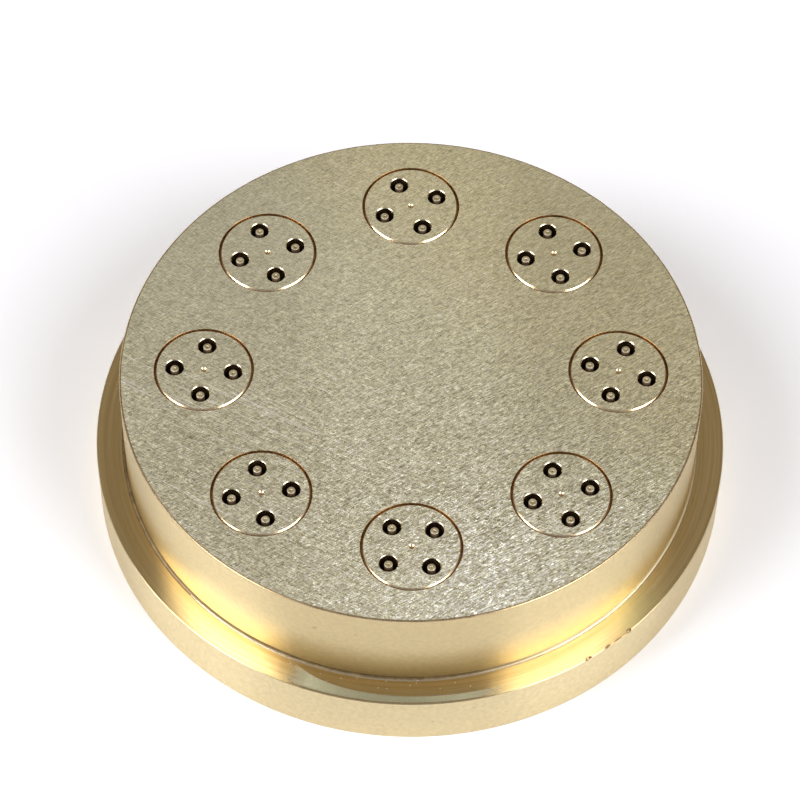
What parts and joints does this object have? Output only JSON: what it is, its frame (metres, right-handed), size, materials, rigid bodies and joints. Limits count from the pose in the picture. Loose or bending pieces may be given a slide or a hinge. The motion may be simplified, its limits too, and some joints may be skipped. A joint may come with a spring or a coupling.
{
  "type": "pasta extrusion die",
  "caption": "Round brass die for an extruder: a flanged body holds a ring of inserts with pin-cored orifices that form thin hollow pasta tubes.",
  "frame": {"origin": "centre of the back face, where the die rests or meets the extruder barrel", "axes": "+Z along the turning axis towards the front face where the pasta comes out; +X through the middle of the first insert"},
  "size_m": [0.096, 0.096, 0.026],
  "materials": {
    "body_brass": "turned sides, ground front face",
    "insert_brass": "ground front face",
    "carrier_brass": "turned and drilled",
    "pin_bronze": "turned"
  },
  "bodies": {
    "root": {"die_body": "body_brass", "insert_1": "insert_brass", "pin_carrier_1": "carrier_brass", "core_pin_1_1": "pin_bronze", "core_pin_1_2": "pin_bronze", "core_pin_1_3": "pin_bronze", "core_pin_1_4": "pin_bronze", "insert_2": "insert_brass", "pin_carrier_2": "carrier_brass", "core_pin_2_1": "pin_bronze", "core_pin_2_2": "pin_bronze", "core_pin_2_3": "pin_bronze", "core_pin_2_4": "pin_bronze", "insert_3": "insert_brass", "pin_carrier_3": "carrier_brass", "core_pin_3_1": "pin_bronze", "core_pin_3_2": "pin_bronze", "core_pin_3_3": "pin_bronze", "core_pin_3_4": "pin_bronze", "insert_4": "insert_brass", "pin_carrier_4": "carrier_brass", "core_pin_4_1": "pin_bronze", "core_pin_4_2": "pin_bronze", "core_pin_4_3": "pin_bronze", "core_pin_4_4": "pin_bronze", "insert_5": "insert_brass", "pin_carrier_5": "carrier_brass", "core_pin_5_1": "pin_bronze", "core_pin_5_2": "pin_bronze", "core_pin_5_3": "pin_bronze", "core_pin_5_4": "pin_bronze", "insert_6": "insert_brass", "pin_carrier_6": "carrier_brass", "core_pin_6_1": "pin_bronze", "core_pin_6_2": "pin_bronze", "core_pin_6_3": "pin_bronze", "core_pin_6_4": "pin_bronze", "insert_7": "insert_brass", "pin_carrier_7": "carrier_brass", "core_pin_7_1": "pin_bronze", "core_pin_7_2": "pin_bronze", "core_pin_7_3": "pin_bronze", "core_pin_7_4": "pin_bronze", "insert_8": "insert_brass", "pin_carrier_8": "carrier_brass", "core_pin_8_1": "pin_bronze", "core_pin_8_2": "pin_bronze", "core_pin_8_3": "pin_bronze", "core_pin_8_4": "pin_bronze"}
  },
  "joints": []
}
